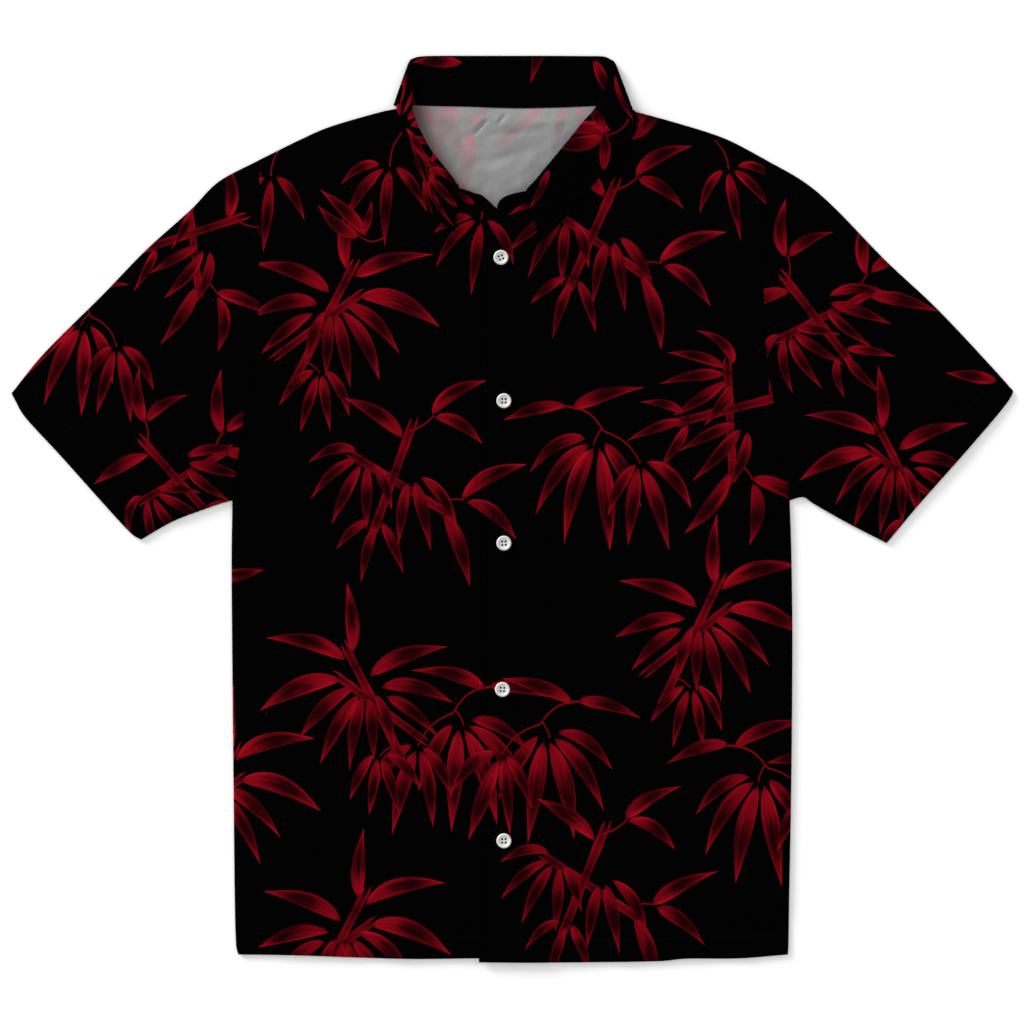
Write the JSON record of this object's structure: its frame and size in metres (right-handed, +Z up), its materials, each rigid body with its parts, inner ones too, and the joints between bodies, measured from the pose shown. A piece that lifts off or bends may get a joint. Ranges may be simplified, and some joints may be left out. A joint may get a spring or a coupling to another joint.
{
  "type": "hawaiian shirt",
  "caption": "Short-sleeved hawaiian shirt with a turned-down collar and buttoned front, laid flat with its front up.",
  "frame": {"origin": "on the surface the shirt lies on, under the middle of its outline", "axes": "+Z up out of the surface, +Y from hem to collar, +X to the wearer's left"},
  "size_m": [0.8767, 0.7931, 0.0108],
  "materials": {
    "printed_cloth": "matte black woven cotton with a dark red leaf print",
    "button_resin": "off-white polished resin"
  },
  "bodies": {
    "root": {"back": "printed_cloth", "front_right": "printed_cloth", "front_left": "printed_cloth", "sleeve_right": "printed_cloth", "sleeve_left": "printed_cloth", "collar_stand": "printed_cloth", "collar_fall": "printed_cloth", "button_1": "button_resin", "button_2": "button_resin", "button_3": "button_resin", "button_4": "button_resin", "button_5": "button_resin"}
  },
  "joints": []
}
